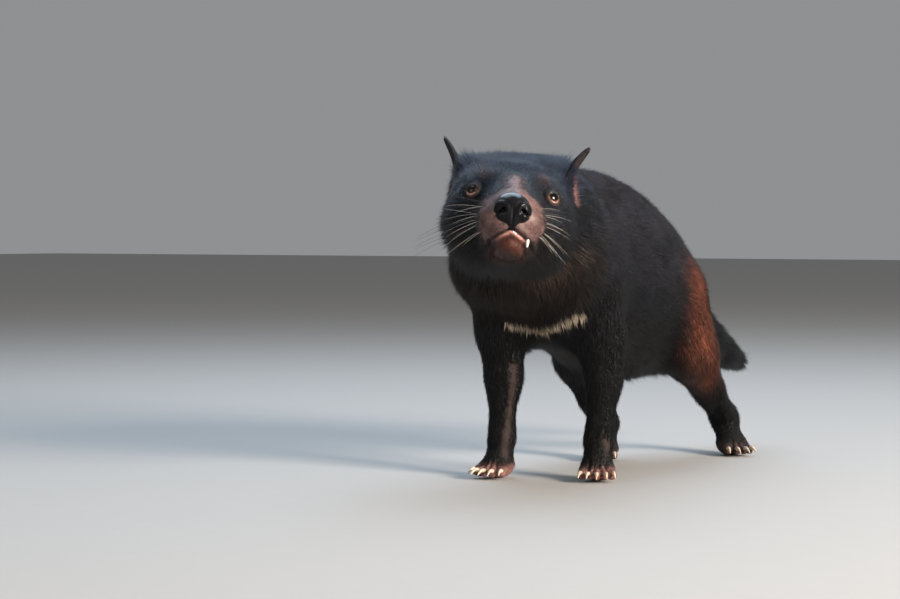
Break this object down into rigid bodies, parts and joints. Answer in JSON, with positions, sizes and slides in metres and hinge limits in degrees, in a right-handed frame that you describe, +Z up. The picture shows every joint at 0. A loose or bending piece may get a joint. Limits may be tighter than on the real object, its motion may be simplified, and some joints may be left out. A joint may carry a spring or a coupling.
{
  "type": "tasmanian devil",
  "caption": "Stocky near-black marsupial standing with its broad head raised and turned to its left: bare pinkish muzzle, upright ears, strong jaws, thick tapered tail held low, pale bar across the chest.",
  "frame": {"origin": "middle of the bounding box, on the ground under the soles", "axes": "the animal faces -Y with its tail towards +Y, its left side is +X, +Z is up"},
  "size_m": [0.178, 0.6126, 0.3413],
  "materials": {
    "dark_fur": "short, glossy, near-black coat with a brown throat and a pale chest bar",
    "rust_fur": "rust-tinged short coat over the thigh",
    "muzzle_skin": "thinly haired pinkish-brown skin",
    "nose_leather": "moist, pebbled, near-black",
    "ear_skin": "thin skin, pink inside, dark and finely haired outside",
    "eye": "wet, dark brown",
    "enamel": "smooth, off-white",
    "foot_skin": "bare pinkish-brown skin with granular pads, dark fur on top",
    "claw": "worn horn"
  },
  "bodies": {
    "root": {"torso": "dark_fur", "neck": "dark_fur", "tail": "dark_fur", "head": "dark_fur", "lower_jaw": "muzzle_skin", "nose_pad": "nose_leather", "canine_left": "enamel", "ear_left": "ear_skin", "ear_right": "ear_skin", "eye_left": "eye", "eye_right": "eye", "foreleg_left_upper": "dark_fur", "foreleg_left_lower": "dark_fur", "foreleg_left_foot": "foot_skin", "foreleg_left_claw_1": "claw", "foreleg_left_claw_2": "claw", "foreleg_left_claw_3": "claw", "foreleg_left_claw_4": "claw", "foreleg_left_claw_5": "claw", "foreleg_right_upper": "dark_fur", "foreleg_right_lower": "dark_fur", "foreleg_right_foot": "foot_skin", "foreleg_right_claw_1": "claw", "foreleg_right_claw_2": "claw", "foreleg_right_claw_3": "claw", "foreleg_right_claw_4": "claw", "foreleg_right_claw_5": "claw", "hindleg_left_upper": "rust_fur", "hindleg_left_lower": "dark_fur", "hindleg_left_foot": "foot_skin", "hindleg_left_claw_1": "claw", "hindleg_left_claw_2": "claw", "hindleg_left_claw_3": "claw", "hindleg_left_claw_4": "claw", "hindleg_right_upper": "rust_fur", "hindleg_right_lower": "dark_fur", "hindleg_right_foot": "foot_skin", "hindleg_right_claw_1": "claw", "hindleg_right_claw_2": "claw", "hindleg_right_claw_3": "claw", "hindleg_right_claw_4": "claw"}
  },
  "joints": []
}
